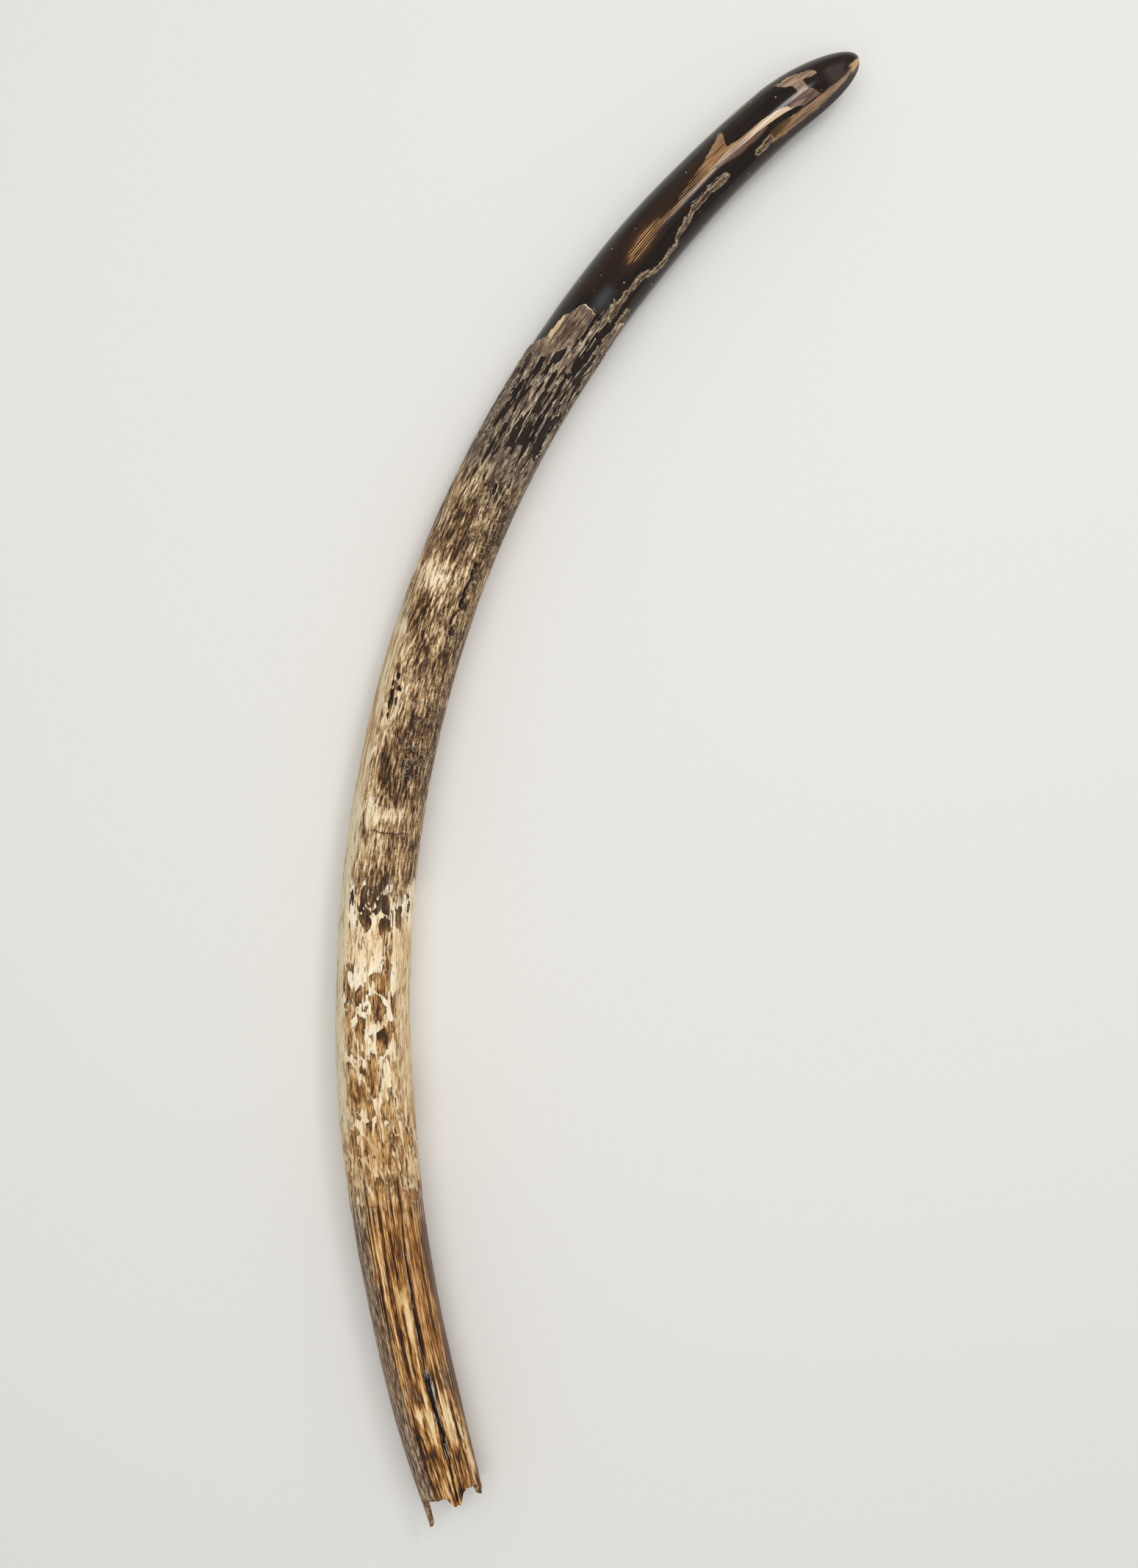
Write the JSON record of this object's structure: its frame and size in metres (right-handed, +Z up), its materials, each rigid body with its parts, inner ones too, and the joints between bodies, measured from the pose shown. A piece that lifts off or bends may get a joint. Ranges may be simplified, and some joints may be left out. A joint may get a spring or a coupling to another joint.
{
  "type": "fossil mastodon tusk",
  "caption": "Long slender fossil tusk, bowed to one side, with a broken hollow root, a long drying crack, flaky pitted bark and a bare polished tip.",
  "frame": {"origin": "middle of the tusk's footprint, on the surface that it lies on", "axes": "+Z up from that surface; +Y along the tusk's reach, from the broken root towards the tip; the bow bulges towards -X"},
  "size_m": [0.4615, 1.2988, 0.0641],
  "materials": {
    "fossil_ivory": "polished fossil ivory, cream to golden brown with dark flaky bark and a glossy brown-black tip"
  },
  "bodies": {
    "root": {"tusk": "fossil_ivory"}
  },
  "joints": []
}
